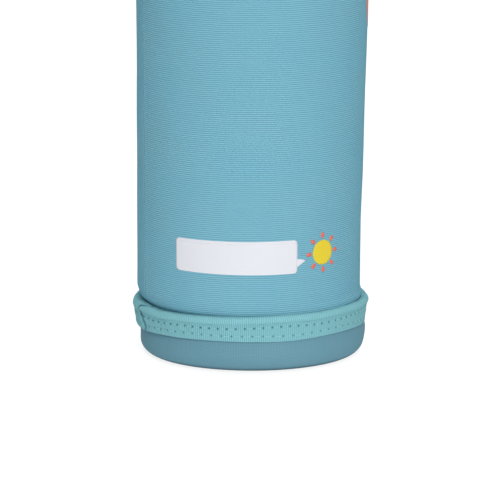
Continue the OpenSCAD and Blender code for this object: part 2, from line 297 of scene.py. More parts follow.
def mat_silicone(name, base):
    m = Mat(name, rough=0.55)
    m.p.inputs["Subsurface Weight"].default_value = 0.15
    m.p.inputs["Subsurface Radius"].default_value = (0.002, 0.002, 0.002)
    fine = m.noise(1500.0, 3.0, 0.6)
    big = m.noise(90.0, 2.0, 0.5)
    m.color(m.mix(m.range(big, 0.4, 0.7, 0.0, 0.3), base, scale_c(base, 0.9)))
    m.bump(fine, 0.00003, 0.5)
    return m.m


def mat_metal(name, base, rough=0.28, brushed=False, radius=0.035):
    m = Mat(name, rough=rough)
    m.p.inputs["Metallic"].default_value = 1.0
    big = m.noise(60.0, 3.0, 0.5)
    if brushed:
        s, z = m.wrap(radius)
        fine = m.noise(1.0, 3.0, 0.6, vec=m.vec(m.math("MULTIPLY", s, 40.0), 0.0, m.math("MULTIPLY", z, 4500.0)))
    else:
        fine = m.noise(1800.0, 3.0, 0.6)
    m.color(m.mix(m.range(fine, 0.3, 0.7, 0.0, 0.4), base, scale_c(base, 0.86)))
    m.rough(m.range(m.math("ADD", m.math("MULTIPLY", fine, 0.6), m.math("MULTIPLY", big, 0.4)), 0.3, 0.7, rough - 0.08, rough + 0.14))
    m.bump(fine, 0.00002, 0.6)
    return m.m


def mat_powder(name, base):
    m = Mat(name, rough=0.42)
    m.p.inputs["Coat Weight"].default_value = 0.2
    m.p.inputs["Coat Roughness"].default_value = 0.35
    fine = m.noise(1900.0, 3.0, 0.65)
    peel = m.noise(600.0, 2.0, 0.5)
    big = m.noise(30.0, 3.0, 0.5)
    c = m.mix(m.range(big, 0.35, 0.7, 0.0, 0.3), base, scale_c(base, 0.94))
    m.color(c)
    m.rough(m.range(fine, 0.3, 0.7, 0.36, 0.5))
    m.bump(m.math("ADD", m.math("MULTIPLY", fine, 0.5), m.math("MULTIPLY", peel, 0.5)), 0.00006, 0.5)
    return m.m


def mat_foam(name, base):
    m = Mat(name, rough=0.9)
    cell = m.voronoi(1400.0)
    big = m.noise(90.0, 3.0, 0.6)
    c = m.mix(m.range(cell, 0.0, 0.5, 0.35, 0.0), base, scale_c(base, 0.6))
    c = m.mix(m.range(big, 0.4, 0.7, 0.0, 0.3), c, scale_c(base, 0.8))
    m.color(c)
    m.bump(cell, 0.0002, 0.8)
    return m.m


def mat_lining(name, base):
    m = Mat(name, rough=0.45)
    m.p.inputs["Metallic"].default_value = 0.35
    s, z = m.wrap(0.039)
    diag = m.math("ADD", m.wave(m.math("ADD", s, z), 0.0009), m.wave(m.math("SUBTRACT", s, z), 0.0009))
    big = m.noise(120.0, 4.0, 0.6)
    c = m.mix(m.range(diag, 0.0, 2.0, 0.0, 0.5), base, scale_c(base, 0.8))
    c = m.mix(m.range(big, 0.4, 0.7, 0.0, 0.3), c, scale_c(base, 0.75))
    m.color(c)
    m.bump(diag, 0.00006, 0.6)
    m.bump(big, 0.0006, 0.4)
    return m.m


def mat_webbing(name, base):
    m = Mat(name, rough=0.75)
    m.p.inputs["Sheen Weight"].default_value = 0.3
    x, y, z = m.xyz()
    # a plain woven webbing: warp cords across Y, weft along Z
    u = m.math("MULTIPLY", y, 2 * PI / 0.0014)
    v = m.math("MULTIPLY", z, 2 * PI / 0.0011)
    a = m.math("MULTIPLY", m.math("SINE", u), m.math("SINE", v))
    h = m.math("MULTIPLY_ADD", a, 0.5, 0.5)
    big = m.noise(160.0, 3.0, 0.6)
    fine = m.noise(2500.0, 2.0, 0.6)
    c = m.ramp(h, [(0.0, scale_c(base, 0.66)), (0.5, scale_c(base, 0.95)), (1.0, scale_c(base, 1.12))])
    c = m.mix(m.range(big, 0.35, 0.7, 0.0, 0.2), c, scale_c(base, 0.85))
    c = m.mix(m.range(fine, 0.4, 0.8, 0.0, 0.15), c, scale_c(base, 1.25))
    m.color(c)
    m.bump(h, 0.00018, 0.9)
    return m.m


def mat_thread(name, base):
    m = Mat(name, rough=0.6)
    m.p.inputs["Sheen Weight"].default_value = 0.3
    n = m.noise(3500.0, 2.0, 0.6)
    m.color(m.mix(m.range(n, 0.35, 0.7, 0.0, 0.5), base, scale_c(base, 0.7)))
    m.bump(n, 0.00005, 0.6)
    return m.m


# ---------------------------------------------------------------- mesh helpers

def add_mesh(name, verts, faces, mat, smooth=True):
    me = bpy.data.meshes.new(name)
    me.from_pydata([tuple(v) for v in verts], [], [tuple(f) for f in faces])
    me.validate()
    me.update()
    o = bpy.data.objects.new(name, me)
    bpy.context.scene.collection.objects.link(o)
    for mm in (mat if isinstance(mat, (list, tuple)) else [mat]):
        me.materials.append(mm)
    if smooth:
        me.polygons.foreach_set("use_smooth", [True] * len(me.polygons))
    return o


def pos(phi, r, z):
    """phi in degrees from the front (-Y) towards +X; r and z in millimetres."""
    a = math.radians(phi)
    return (r * MM * math.sin(a), -r * MM * math.cos(a), z * MM)


def grid_faces(rows, cols, close_rows=False, close_cols=True):
    f = []
    for i in range(rows if close_rows else rows - 1):
        i2 = (i + 1) % rows
        for j in range(cols if close_cols else cols - 1):
            j2 = (j + 1) % cols
            f.append((i * cols + j, i * cols + j2, i2 * cols + j2, i2 * cols + j))
    return f


def ring_surface(name, section, cols, mat, shape=None, phi0=-180.0, phi1=180.0, closed=True):
    """Sweeps a closed section [(r, z), ...] round the axis. shape(phi, k, r, z) moves points."""
    rows = len(section)
    full = abs((phi1 - phi0) - 360.0) < 1e-6
    n = cols if full else cols + 1
    verts = []
    for k, (r, z) in enumerate(section):
        for j in range(n):
            phi = phi0 + (phi1 - phi0) * j / cols
            rr, zz = (r, z) if shape is None else shape(phi, k, r, z)
            verts.append(pos(phi, rr, zz))
    faces = grid_faces(rows, n, close_rows=closed, close_cols=full)
    if not full and closed:
        faces.append(tuple(k * n for k in range(rows)))
        faces.append(tuple(k * n + n - 1 for k in range(rows - 1, -1, -1)))
    return add_mesh(name, verts, faces, mat)


def fix_normals(o):
    bm = bmesh.new()
    bm.from_mesh(o.data)
    bmesh.ops.recalc_face_normals(bm, faces=bm.faces)
    bm.to_mesh(o.data)
    bm.free()
    return o


def shade_by_angle(o, deg=35):
    o.data.polygons.foreach_set("use_smooth", [True] * len(o.data.polygons))
    bm = bmesh.new()
    bm.from_mesh(o.data)
    lim = math.radians(deg)
    for e in bm.edges:
        e.smooth = not (len(e.link_faces) == 2 and e.calc_face_angle(0.0) > lim)
    bm.to_mesh(o.data)
    bm.free()
    return o


def apply_mods(o):
    bpy.context.view_layer.update()
    dg = bpy.context.evaluated_depsgraph_get()
    me = bpy.data.meshes.new_from_object(o.evaluated_get(dg))
    o.modifiers.clear()
    old = o.data
    o.data = me
    bpy.data.meshes.remove(old)
    return o


def tube(name, path, radius, mat, sides=8, closed=False, caps=True):
    """A round tube along points in metres."""
    pts = [Vector(p) for p in path]
    n = len(pts)
    verts, faces = [], []
    prev = None
    for i, p in enumerate(pts):
        a = pts[(i - 1) % n] if (closed or i > 0) else pts[i]
        b = pts[(i + 1) % n] if (closed or i < n - 1) else pts[i]
        t = (b - a).normalized()
        if prev is None:
            up = Vector((0, 0, 1)) if abs(t.z) < 0.9 else Vector((1, 0, 0))
            u = t.cross(up).normalized()
        else:
            u = (prev - t * prev.dot(t)).normalized()
        prev = u
        v = t.cross(u)
        r = radius[i] if isinstance(radius, (list, tuple)) else radius
        for k in range(sides):
            c = 2 * PI * k / sides
            verts.append(p + u * (r * math.cos(c)) + v * (r * math.sin(c)))
    faces = grid_faces(n, sides, close_rows=closed, close_cols=True)
    if not closed and caps:
        faces.append(tuple(range(sides - 1, -1, -1)))
        faces.append(tuple((n - 1) * sides + k for k in range(sides)))
    return fix_normals(add_mesh(name, verts, faces, mat))


def join(objs, name):
    bpy.context.view_layer.update()
    base = objs[0]
    bm = bmesh.new()
    mats = []
    for o in objs:
        me = o.data
        idx = []
        for mm in me.materials:
            if mm not in mats:
                mats.append(mm)
            idx.append(mats.index(mm))
        start = len(bm.faces)
        bm.from_mesh(me)
        bm.faces.ensure_lookup_table()
        for f in bm.faces[start:]:
            f.material_index = idx[f.material_index] if idx else 0
    me = bpy.data.meshes.new(name)
    bm.to_mesh(me)
    bm.free()
    for mm in mats:
        me.materials.append(mm)
    for o in objs:
        bpy.data.objects.remove(o)
    o = bpy.data.objects.new(name, me)
    bpy.context.scene.collection.objects.link(o)
    return o


def bumpy(x, seeds):
    """A smooth, fixed, uneven curve of period 360."""
    return sum(a * math.sin(math.radians(k * x + p)) for a, k, p in seeds)


def gauss(x, w):
    return math.exp(-(x / w) ** 2)


def ang(a, b):
    return (a - b + 180.0) % 360.0 - 180.0



# ---------------------------------------------------------------- shared materials

M_SLEEVE = mat_sleeve()
M_CUP = mat_cup()
M_TAPE = mat_binding("rib_tape_base", BINDING, 0.043)
M_TAPE_TOP = mat_binding("rib_tape_top", BINDING, 0.0435)
M_WEB = mat_webbing("strap_webbing", CORAL)
M_THREAD = mat_thread("sewing_thread", lin(130, 188, 194))
M_THREAD_W = mat_thread("tab_thread", lin(232, 140, 122))
M_FOAM = mat_foam("closed_cell_foam", lin(214, 216, 212))
M_PAD = mat_foam("base_pad_foam", lin(64, 68, 74))
M_LINING = mat_lining("lining_cloth", lin(188, 192, 196))
M_SEAMTAPE = mat_binding("seam_tape_cloth", lin(86, 132, 150), 0.0385, 0.0011)
M_STEEL = mat_metal("ring_steel", lin(205, 207, 210), 0.22)
M_BRUSHED = mat_metal("brushed_steel", lin(200, 202, 204), 0.30, brushed=True, radius=0.035)
M_SPRING = mat_metal("spring_steel", lin(176, 178, 180), 0.30)
M_POWDER = mat_powder("painted_steel", lin(222, 224, 227))
M_CAP = mat_plastic("cap_plastic", lin(226, 226, 222), 0.34)
M_LOCK = mat_plastic("lock_plastic", lin(176, 186, 190), 0.36)
M_LID = mat_plastic("lid_plastic", LIDC, 0.30)
M_BUTTON = mat_plastic("button_plastic", lin(232, 118, 98), 0.30)
M_SILICONE = mat_silicone("food_silicone", lin(214, 222, 224))
M_GASKET = mat_silicone("gasket_silicone", lin(238, 238, 232))
M_WHITE = mat_print("print_white", lin(209, 211, 217), 0.04)
M_YELLOW = mat_print("print_yellow", lin(215, 193, 42), 0.10)
M_CORAL = mat_print("print_coral", lin(222, 106, 84), 0.10)


def paint_pit_shade(mat, dark):
    """Painted shade: darkens needle holes, the creases of the seam and of the tape's folded end, and the gaps at the
    tapes' edges, by the shade value each mesh point carries; the base tape's flat face is also darkened slightly all
    over.
    """
    t = mat.node_tree
    p = next(n for n in t.nodes if n.type == "BSDF_PRINCIPLED")
    a = t.nodes.new("ShaderNodeAttribute")
    a.attribute_name = "pit_shade"
    mx = t.nodes.new("ShaderNodeMix")
    mx.data_type = "RGBA"
    src = p.inputs["Base Color"].links[0].from_socket
    t.links.new(a.outputs["Fac"], mx.inputs[0])
    t.links.new(src, mx.inputs[6])
    mx.inputs[7].default_value = (*dark, 1.0)
    t.links.new(mx.outputs[2], p.inputs["Base Color"])


# painted shade in the holes, creases and gaps of the tapes and the sleeve
paint_pit_shade(M_TAPE, lin(34, 92, 104))
paint_pit_shade(M_TAPE_TOP, lin(34, 92, 104))
paint_pit_shade(M_SLEEVE, lin(52, 112, 136))

# ---------------------------------------------------------------- pouch shape, in millimetres

SEAM_Z = [20, 59, 96, 129, 175]
SEAM_PHI = [-67.3, -67.3, -68.6, -69.1, -69.8]
LEAN_Z = [20.6, 22.5, 25, 50, 66, 85, 105, 133, 175]
LEAN_X = [0.0, -0.8, -1.40, -1.30, -0.95, -0.62, -0.20, 0.05, 0.1]
SLV_Z = [9.5, 20.7, 21.6, 22.6, 24, 26, 50, 66, 85, 105, 133, 140, 147, 175]
SLV_R = [40.32, 40.32, 40.85, 41.10, 41.25, 41.40, 41.50, 41.80, 41.97, 42.15, 42.52, 42.50, 42.10, 42.10]


def tab(x, xs, ys):
    return float(np.interp(x, xs, ys))


def sstep(x, a, b):
    t = min(1.0, max(0.0, (x - a) / (b - a)))
    return t * t * (3 - 2 * t)


def seam_phi(z):
    return tab(z, SEAM_Z, SEAM_PHI)


def lean(phi, radius, dx):
    a = math.radians(phi)
    return dx * math.sin(a) + math.sqrt(max(1.0, radius ** 2 - (dx * math.cos(a)) ** 2))


def sleeve_r(phi, z, detail=True):
    r = lean(phi, tab(z, SLV_Z, SLV_R), tab(z, LEAN_Z, LEAN_X))
    f = sstep(z, 21.0, 25.0)
    r += 0.50 * sstep(phi, 15, 70) * (1.0 - sstep(phi, 120, 165)) * gauss(z - 22.6, 2.2) * (1.0 if z > 20.9 else 0.0)
    d = ang(phi, seam_phi(z)) * 0.725
    if d < 0:
        r -= f * 0.22 * math.exp(d / 22.0)
    if detail:
        soft = 0.075 * math.sin(math.radians(3 * phi + 40) + z * 0.045) + 0.06 * math.sin(math.radians(5 * phi - 75) - z * 0.083) \
            + 0.035 * math.sin(math.radians(9 * phi + 20) + z * 0.16)
        r += f * soft
        pucker = 1.0 + 0.35 * math.sin(z * 1.9) + 0.25 * math.sin(z * 0.83 + 1.0)
        r += f * (-0.62 * gauss(d, 0.42) + 0.14 * pucker * gauss(d - 1.25, 0.75) + 0.10 * pucker * gauss(d + 1.2, 0.7))
    lo = 40.2
    if z > 23:
        r = 0.5 * (r + lo + math.sqrt((r - lo) ** 2 + 0.03))
    return r


def ring_rows(name, rows, phis, mat, closed=True, attr=None):
    """rows are functions of phi giving (r, z); phis go once round."""
    n = len(phis)
    verts, pit_shade = [], []
    for f in rows:
        for ph in phis:
            out = f(ph)
            verts.append(pos(ph, out[0], out[1]))
            if attr:
                pit_shade.append(out[2] if len(out) > 2 else 0.0)
    o = add_mesh(name, verts, grid_faces(len(rows), n, close_rows=closed, close_cols=True), mat)
    if attr:
        a = o.data.attributes.new(attr, "FLOAT", "POINT")
        a.data.foreach_set("value", pit_shade)
    return fix_normals(o)


def revolve(name, section, mat, cols=256, closed=True, smooth=True, angle=35, centre=(0.0, 0.0)):
    """A revolve about the axis; section points with r = 0 become one vertex. Closed sections join last to first."""
    verts, rings = [], []
    for r, z in section:
        if r < 1e-6:
            rings.append([len(verts)])
            verts.append((centre[0] * MM, centre[1] * MM, z * MM))
        else:
            start = len(verts)
            for j in range(cols):
                x, y, zz = pos(-180.0 + 360.0 * j / cols, r, z)
                verts.append((x + centre[0] * MM, y + centre[1] * MM, zz))
            rings.append(list(range(start, start + cols)))
    faces = []
    k = len(rings)
    for i in range(k if closed else k - 1):
        a, b = rings[i], rings[(i + 1) % k]
        if len(a) == 1 and len(b) == 1:
            continue
        for j in range(cols):
            j2 = (j + 1) % cols
            if len(a) == 1:
                faces.append((a[0], b[j2], b[j]))
            elif len(b) == 1:
                faces.append((a[j], a[j2], b[0]))
            else:
                faces.append((a[j], a[j2], b[j2], b[j]))
    o = fix_normals(add_mesh(name, verts, faces, mat))
    return shade_by_angle(o, angle) if smooth else o


def arc_pts(cx, cy, r, a0, a1, n=10):
    return [(cx + r * math.cos(math.radians(a0 + (a1 - a0) * i / n)), cy + r * math.sin(math.radians(a0 + (a1 - a0) * i / n))) for i in range(n + 1)]


def give(o, body, nodes=()):
    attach(o, body)
    if nodes:
        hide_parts(*nodes)
    return o


# ---- sleeve

def build_sleeve():
    phis = sorted(set([round(-180 + 1.25 * i, 3) for i in range(288)] + [round(-74 + 0.25 * i, 3) for i in range(44)]))
    zs = [9.5, 14.0, 18.0, 20.0] + [20.7 + 0.45 * i for i in range(12)] + list(np.arange(26.6, 173.0, 1.1)) + [173.8]
    t = 0.75

    def outer(z):
        def f(ph):
            r = sleeve_r(ph, z)
            d = ang(ph, seam_phi(z)) * 0.725
            # third value: painted shade in the seam's groove and on the cloth tucked under the tape's lip
            return r, z, 0.75 * gauss(d, 0.34) * sstep(z, 20.0, 23.0) + 0.35 * (1.0 - sstep(z, 20.2, 22.0))
        return f

    def inner(z):
        return lambda ph: (max(39.3, sleeve_r(ph, z, False) - t), z)

    rows = [outer(z) for z in zs]
    rows += [inner(z) for z in [173.8] + list(np.arange(170, 26, -6.0)) + [24.0, 22.6, 21.6, 20.7, 15.0, 9.5]]
    o = ring_rows("sleeve", rows, phis, M_SLEEVE, attr="pit_shade")
    give(o, "pouch", ["pouch_sleeve"])
    return o


# ---- base cup

def build_cup():
    """Soft moulded cup: its foot is rounder at the front and back than at the sides, where the tape pulls on it."""
    phis = [-180 + 360.0 * i / 300 for i in range(300)]

    def foot(ph):
        return 4.9 + 3.3 * math.cos(math.radians(ph)) ** 2

    def wall(ph, z):
        swell = 0.55 * gauss(ang(ph, 90.0), 34.0) - 0.05 * gauss(ang(ph, -90.0), 30.0)
        return 41.66 + swell * sstep(z, 3.5, 8.0) * (1.0 - sstep(z, 9.5, 12.4)) + 0.03 * math.sin(math.radians(ph * 7 + 30) + z * 0.3)

    rows = [lambda ph, r=r: (r, 0.0) for r in (0.5, 8.0, 16.0, 24.0, 30.0)]

    def low(a):
        def f(ph):
            q = foot(ph)
            z = q + q * math.sin(math.radians(a))
            return wall(ph, z) - q + q * math.cos(math.radians(a)), z
        return f

    def side(u):
        def f(ph):
            z = foot(ph) + (17.0 - foot(ph)) * u
            return wall(ph, z), z
        return f

    rows += [low(a) for a in range(-90, 1, 5)] + [side(u) for u in (0.12, 0.25, 0.38, 0.5, 0.62, 0.75, 1.0)]
    sec = [(41.66, 19.2), (41.5, 19.5), (40.7, 19.5), (40.5, 19.3), (40.5, 12), (40.5, 6.4)]
    sec += arc_pts(36.2, 5.9, 4.3, 0, -88, 10)
    sec += [(30, 1.5), (15, 1.5), (0.5, 1.5)]
    rows += [lambda ph, p=p: p for p in sec]
    o = shade_by_angle(ring_rows("base_cup", rows, phis, M_CUP, closed=True), 50)
    return give(o, "pouch", ["pouch_base_cup"])


# ---- base binding

GAP = ([-180, -140, -110, -95, -88, -78, -66, -60, -51, -37, -25, -5, 15, 37, 52, 70, 90, 110, 140, 180],
       [21.9, 21.4, 20.7, 20.0, 19.9, 20.6, 21.1, 20.4, 20.7, 21.2, 21.5, 21.85, 22.3, 22.0, 22.2, 21.7, 20.9, 21.3, 22.0, 21.9])
LOW = ([-180, -140, -100, -75, -65, -60, -51, -37, -25, -5, 15, 25, 37, 50, 65, 72, 100, 140, 180],
       [12.4, 12.5, 11.4, 10.8, 11.1, 11.3, 11.8, 12.1, 12.5, 12.5, 12.35, 12.4, 12.8, 12.8, 12.5, 11.9, 11.8, 12.5, 12.4])
# the end of the tape that lies on top: (angle, distance up the tape's surface)
FOLD = [(-66.0, 10.2), (-65.8, 11.4), (-65.3, 12.4), (-66.2, 13.6), (-67.9, 14.8), (-68.7, 16.2), (-70.2, 17.2), (-71.4, 18.3),
        (-71.2, 19.3), (-69.6, 20.2), (-67.0, 20.8), (-64.2, 21.3), (-61.8, 22.4)]


def smooth_tab(phi, t):
    """The table, averaged over a few degrees so that it has no corners."""
    return sum(tab(ang(phi + k, 0.0), t[0], t[1]) for k in (-6, -3, 0, 3, 6)) / 5.0


def fold_dist(phi, z):
    """(distance in mm, signed: positive to the right of the fold) from the overlapping end of the tape."""
    x, y = phi * 0.745, z
    best, sign = 1e9, 1.0
    for (a, b), (c, d) in zip(FOLD[:-1], FOLD[1:]):
        ax, ay, cx, cy = a * 0.745, b, c * 0.745, d
        ux, uy = cx - ax, cy - ay
        t = max(0.0, min(1.0, ((x - ax) * ux + (y - ay) * uy) / (ux * ux + uy * uy)))
        px, py = ax + t * ux - x, ay + t * uy - y
        q = math.hypot(px, py)
        if q < best:
            best = q
            sign = 1.0 if (ux * (y - ay) - uy * (x - ax)) < 0 else -1.0
    return best, sign


UPPER_FIRST, UPPER_PITCH = -17.0, 4.5
UPPER_HOLES = [UPPER_FIRST + UPPER_PITCH * k for k in range(80)]
LOWER_FIRST, LOWER_PITCH = -30.7, 360.0 / 70
LOWER_HOLES = [LOWER_FIRST + LOWER_PITCH * k for k in range(70)]


def upper_z(phi):
    return smooth_tab(phi, GAP) - 4.4 + 0.12 * math.sin(math.radians(7 * phi))


def lower_z(phi):
    return smooth_tab(phi, LOW) + 2.1 + 0.10 * math.sin(math.radians(9 * phi + 50))


def near_hole(phi, first, pitch):
    d = (phi - first) / pitch
    return (d - round(d)) * pitch


def face_r(phi, z, zb, zg):
    """Outer radius of the binding's flat face, without needle holes."""
    u = (z - zb) / (zg - zb)
    r = 42.42 + 0.18 * u + gauss(ang(phi, -90.0), 20.0) * (0.1 + 1.25 * u) + gauss(ang(phi, 90.0), 24.0) * (0.42 + 1.05 * u)
    # the two sewn rows pull the tape in, and it swells between them
    r -= 0.16 * gauss(z - upper_z(phi), 0.8) + 0.14 * gauss(z - lower_z(phi), 0.8)
    r += 0.05 * math.sin(math.radians(phi * 80 - 80 * UPPER_FIRST + 180)) * gauss(z - upper_z(phi), 1.4)
    r += 0.05 * math.sin(math.radians(phi * 23)) + 0.04 * math.sin(math.radians(phi * 41 + 30) + z)
    return r


def build_base_binding():
    n = 1080
    phis = [-180 + 360.0 * i / n for i in range(n)]
    cache = {ph: (smooth_tab(ph, LOW), smooth_tab(ph, GAP), upper_z(ph), lower_z(ph)) for ph in phis}
    FACE = 30

    def finish(ph, r, z, pit_shade=0.0, keep=42.15, up=None, tilt=0.0):
        """Lean with the pouch, and the overlap of the tape's ends with painted shade along its crease. up is the
        distance up the surface, tilt its normal's slope.
        """
        r += -0.7 * math.sin(math.radians(ph))
        if -84 < ph < -52:
            q, s = fold_dist(ph, z if up is None else up)
            top = 0.0 if up is None else sstep(tilt, -0.7, 0.5)
            step = (0.30 if s > 0 else -0.05) * math.exp(-q / 3.2) * (1.0 if s > 0 else 0.5)
            if s < 0:
                step += 0.22 * gauss(q - 2.2, 1.6)
            step = step * (1.0 - 0.7 * top) - (0.85 - 0.40 * top) * gauss(q, 0.56 - 0.14 * top)
            r += step * math.cos(tilt)
            z += step * math.sin(tilt)
            # painted shade along the crease at the overlapping end of the tape
            pit_shade = max(pit_shade, (1.0 - 0.1 * top) * gauss(q, 0.84 - 0.38 * top))
        r = 0.5 * (r + keep + math.sqrt((r - keep) ** 2 + 0.01))
        return r, z, pit_shade

    def face(i):
        def f(ph):
            zb, zg, zu, zl = cache[ph]
            z0, z1 = zb + 0.35, zg - 3.0
            z = z0 + (z1 - z0) * i / (FACE - 1)
            r = face_r(ph, z, zb, zg)
            a = math.hypot(near_hole(ph, UPPER_FIRST, UPPER_PITCH) * 0.745, z - zu)
            b = math.hypot(near_hole(ph, LOWER_FIRST, LOWER_PITCH) * 0.745, z - zl)
            h = max(gauss(a, 0.30), 0.85 * gauss(b, 0.27))
            r -= 0.45 * h
            # painted shade in the needle holes; the whole flat face is also darkened a little (0.09)
            p = max(gauss(a, 0.36), 0.8 * gauss(b, 0.32))
            return finish(ph, r, z, min(1.0, 0.09 + p))
        return f

    def lip(a_deg):
        def f(ph):
            zb, zg, zu, zl = cache[ph]
            rad = 1.52 + 0.05 * math.sin(math.radians(ph * 13 + 20)) + 0.04 * math.sin(math.radians(ph * 29))
            cz = zg - 1.72
            a = math.radians(a_deg)
            out = 0.36 * gauss(ang(ph, -90.0), 22.0) + 0.66 * gauss(ang(ph, 90.0), 26.0)
            r = 41.92 + out + rad * math.cos(a)
            z = cz + rad * math.sin(a)
            return finish(ph, r, z, keep=41.0, up=cz + rad * a, tilt=a)
        return f

    def low_edge(dr, dz):
        def f(ph):
            zb = cache[ph][0]
            side = 0.1 * gauss(ang(ph, -90.0), 20.0) + 0.40 * gauss(ang(ph, 90.0), 24.0)
            # painted shade along the tape's lowest edge
            return finish(ph, 42.42 + side + dr, zb + dz, 0.25 if dz < 0.1 else 0.0)
        return f

    # third values: painted shade under the tape's lower edge, where it meets the cup
    rows = [lambda ph: (41.73, cache[ph][0] + 0.25, 0.6), lambda ph: (41.76, cache[ph][0] + 0.02, 0.5),
            low_edge(-0.26, 0.0), low_edge(-0.06, 0.12)]
    rows += [face(i) for i in range(FACE)]
    rows += [lip(a) for a in range(-42, 121, 9)]
    # third values: painted shade in the gap between the tape's lip and the sleeve
    rows += [lambda ph: (sleeve_r(ph, cache[ph][1], False) + 0.28, max(19.95, cache[ph][1] - 0.14), 0.2),
             lambda ph: (sleeve_r(ph, cache[ph][1], False) - 0.15, max(19.80, cache[ph][1] - 0.42), 0.35),
             lambda ph: (40.53, max(19.62, cache[ph][1] - 1.2), 0.5), lambda ph: (40.53, 19.58, 0.5), lambda ph: (41.73, 19.58), lambda ph: (41.73, 16.0)]
    o = ring_rows("base_binding_tape", rows, phis, M_TAPE, attr="pit_shade")
    give(o, "pouch", ["base_binding"])

    # the visible bits of thread between needle holes
    bits = []

    def stitch(p0, p1, zf, rad, name):
        pts = []
        for k in range(7):
            u = k / 6.0
            ph = p0 + (p1 - p0) * u
            ph = ang(ph, 0.0)
            z = zf(ph)
            zb, zg = smooth_tab(ph, LOW), smooth_tab(ph, GAP)
            r = face_r(ph, z, zb, zg) - 0.7 * math.sin(math.radians(ph))
            r = max(r, 42.15)
            if -84 < ph < -60:
                return None
            lift = -0.30 + 0.36 * math.sin(PI * min(1.0, max(0.0, u))) ** 0.5 if 0 < u < 1 else -0.30
            pts.append(pos(ph, r + lift, z))
        return tube(name, pts, rad * MM, M_THREAD, sides=6)

    for i, ph in enumerate(UPPER_HOLES):
        a = stitch(ph + 0.5, ph + UPPER_PITCH - 0.5, upper_z, 0.12, "s")
        if a:
            bits.append(a)
    for i, ph in enumerate(LOWER_HOLES):
        a = stitch(ph + 0.5, ph + LOWER_PITCH - 0.5, lower_z, 0.13, "s")
        if a:
            bits.append(a)
    th = join(bits, "base_binding_thread")
    give(th, "pouch")
    return o


# ---- prints

def film(name, outline_rows, mat, lift=0.12, cols=40):
    """outline_rows: [(z_left, phi_left, z_right, phi_right), ...] bottom to top; the film follows the sleeve."""
    m = cols + 1
    verts, n = [], len(outline_rows)
    for layer in (lift, -0.10):
        for zl, pl, zr, pr in outline_rows:
            for j in range(m):
                u = j / cols
                ph, z = pl + (pr - pl) * u, zl + (zr - zl) * u
                verts.append(pos(ph, sleeve_r(ph, z) + layer, z))
    faces = []
    for i in range(n - 1):
        for j in range(cols):
            a = i * m + j
            faces.append((a, a + 1, a + m + 1, a + m))
            b = n * m + a
            faces.append((b, b + m, b + m + 1, b + 1))
    def side(a, b):
        faces.append((a, b, b + n * m, a + n * m))
    for j in range(cols):
        side(j + 1, j)
        side((n - 1) * m + j, (n - 1) * m + j + 1)
    for i in range(n - 1):
        side(i * m, (i + 1) * m)
        side((i + 1) * m + cols, i * m + cols)
    return fix_normals(add_mesh(name, verts, faces, mat))


def disc(name, phi, z, radius, mat, lift=0.12, rings=8, cols=64, squash=1.0):
    """A round film on the sleeve. radius in mm."""
    verts, faces = [], []
    k = 180.0 / PI
    for layer in (lift, -0.10):
        r0 = sleeve_r(phi, z)
        verts.append(pos(phi, r0 + layer, z))
        for i in range(1, rings + 1):
            for j in range(cols):
                a = 2 * PI * j / cols
                q = radius * i / rings
                ph, zz = phi + q * math.cos(a) / r0 * k, z + q * math.sin(a) * squash
                verts.append(pos(ph, sleeve_r(ph, zz) + layer, zz))
    size = 1 + rings * cols
    for base in (0, size):
        for j in range(cols):
            faces.append((base, base + 1 + j, base + 1 + (j + 1) % cols))
        for i in range(rings - 1):
            for j in range(cols):
                a, b = base + 1 + i * cols + j, base + 1 + i * cols + (j + 1) % cols
                faces.append((a, a + cols, b + cols, b))
    for j in range(cols):
        a, b = 1 + (rings - 1) * cols + j, 1 + (rings - 1) * cols + (j + 1) % cols
        faces.append((a, b, b + size, a + size))
    return fix_normals(add_mesh(name, verts, faces, mat))


def capsule_film(name, phi, z, length, width, angle_deg, mat, lift=0.13):
    """A short rounded dash on the sleeve, turned by angle_deg in the (round, up) plane."""
    k = 180.0 / PI
    r0 = sleeve_r(phi, z)
    ca, sa = math.cos(math.radians(angle_deg)), math.sin(math.radians(angle_deg))
    pts = []
    for j in range(24):
        a = 2 * PI * j / 24
        x = math.cos(a) * width / 2 + (length / 2 - width / 2) * (1 if math.cos(a) > 0 else -1)
        y = math.sin(a) * width / 2
        pts.append((x * ca - y * sa, x * sa + y * ca))
    verts = []
    for layer in (lift, -0.10):
        verts.append(pos(phi, r0 + layer, z))
        for x, y in pts:
            ph, zz = phi + x / r0 * k, z + y
            verts.append(pos(ph, sleeve_r(ph, zz) + layer, zz))
    faces = []
    for j in range(24):
        j2 = (j + 1) % 24
        faces.append((0, 1 + j, 1 + j2))
        faces.append((25, 26 + j2, 26 + j))
        faces.append((1 + j, 1 + j2, 26 + j2, 26 + j))
    return fix_normals(add_mesh(name, verts, faces, mat))


